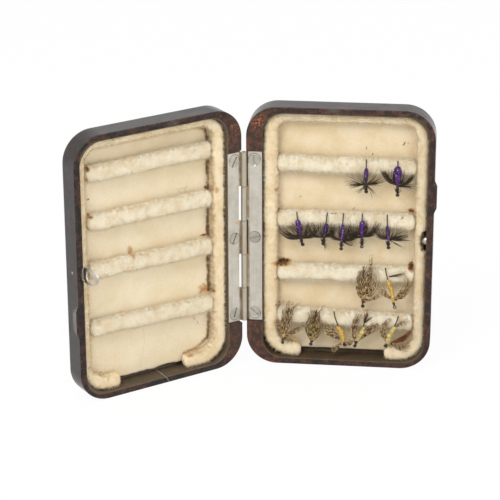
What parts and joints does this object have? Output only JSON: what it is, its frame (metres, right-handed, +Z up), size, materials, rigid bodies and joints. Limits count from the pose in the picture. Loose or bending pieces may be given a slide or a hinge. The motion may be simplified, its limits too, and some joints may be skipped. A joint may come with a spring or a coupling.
{
  "type": "fly box",
  "caption": "Pocket box of two hinged moulded shells, lined with felt and pile strips that hold fishing flies, shut by a sprung loop over a stud.",
  "frame": {"origin": "middle of the right shell's flat lower end face, on which the open box stands", "axes": "+X along the right shell away from the hinge, +Y from its open face to its back, +Z up along the hinge pin"},
  "size_m": [0.1462, 0.0631, 0.114],
  "materials": {
    "shell_moulding": "polished, mottled dark brown moulding",
    "hinge_nickel": "dull nickel plate, brushed along the leaf",
    "screw_nickel": "dull nickel plate",
    "catch_nickel": "worn nickel plate",
    "rivet_brass": "dull, filed flush",
    "stud_nickel": "bright plated dome",
    "felt": "cream felt, aged",
    "pile": "cream cotton pile",
    "core_iron": "twisted iron wire, rusted",
    "hook_steel": "bronzed wire",
    "purple_dressing": "purple floss with dark hackle",
    "partridge_dressing": "mottled brown feather",
    "amber_dressing": "amber floss with mottled hackle",
    "yellow_dressing": "pale yellow floss with mottled hackle"
  },
  "bodies": {
    "right_half": {"right_shell": "shell_moulding", "right_hinge_leaf": "hinge_nickel", "hinge_pin": "hinge_nickel", "right_hinge_screws": "screw_nickel", "catch_stud": "stud_nickel", "right_lining": "felt", "right_edge_strip": "pile", "right_strip_wires": "core_iron", "right_cross_strip_1": "pile", "right_cross_strip_2": "pile", "right_cross_strip_3": "pile", "right_cross_strip_4": "pile", "fly_01_hook": "hook_steel", "fly_01_dressing": "purple_dressing", "fly_02_hook": "hook_steel", "fly_02_dressing": "purple_dressing", "fly_03_hook": "hook_steel", "fly_03_dressing": "purple_dressing", "fly_04_hook": "hook_steel", "fly_04_dressing": "purple_dressing", "fly_05_hook": "hook_steel", "fly_05_dressing": "purple_dressing", "fly_06_hook": "hook_steel", "fly_06_dressing": "purple_dressing", "fly_07_hook": "hook_steel", "fly_07_dressing": "purple_dressing", "fly_08_hook": "hook_steel", "fly_08_dressing": "partridge_dressing", "fly_09_hook": "hook_steel", "fly_09_dressing": "amber_dressing", "fly_10_hook": "hook_steel", "fly_10_dressing": "partridge_dressing", "fly_11_hook": "hook_steel", "fly_11_dressing": "partridge_dressing", "fly_12_hook": "hook_steel", "fly_12_dressing": "amber_dressing", "fly_13_hook": "hook_steel", "fly_13_dressing": "yellow_dressing", "fly_14_hook": "hook_steel", "fly_14_dressing": "yellow_dressing"},
    "left_half": {"left_shell": "shell_moulding", "left_hinge_leaf": "hinge_nickel", "left_hinge_screws": "screw_nickel", "catch_strap": "catch_nickel", "catch_rivet": "rivet_brass", "left_lining": "felt", "left_edge_strip": "pile", "left_strip_wires": "core_iron", "left_cross_strip_1": "pile", "left_cross_strip_2": "pile", "left_cross_strip_3": "pile", "left_cross_strip_4": "pile"},
    "catch_spring": {"catch_loop": "catch_nickel"}
  },
  "joints": [
    {"name": "lid_hinge", "type": "hinge", "parent": "right_half", "child": "left_half", "pos_m": [-0.03952, -0.00555, 0.057], "axis": [0, 0, 1], "range_deg": [-38.8, 141.2]},
    {"name": "catch_flex", "type": "hinge", "parent": "left_half", "child": "catch_spring", "pos_m": [-0.09774, -0.0523, 0.057], "axis": [0, 0, 1], "range_deg": [0, 11], "stiffness_Nm_per_rad": 0.05}
  ]
}
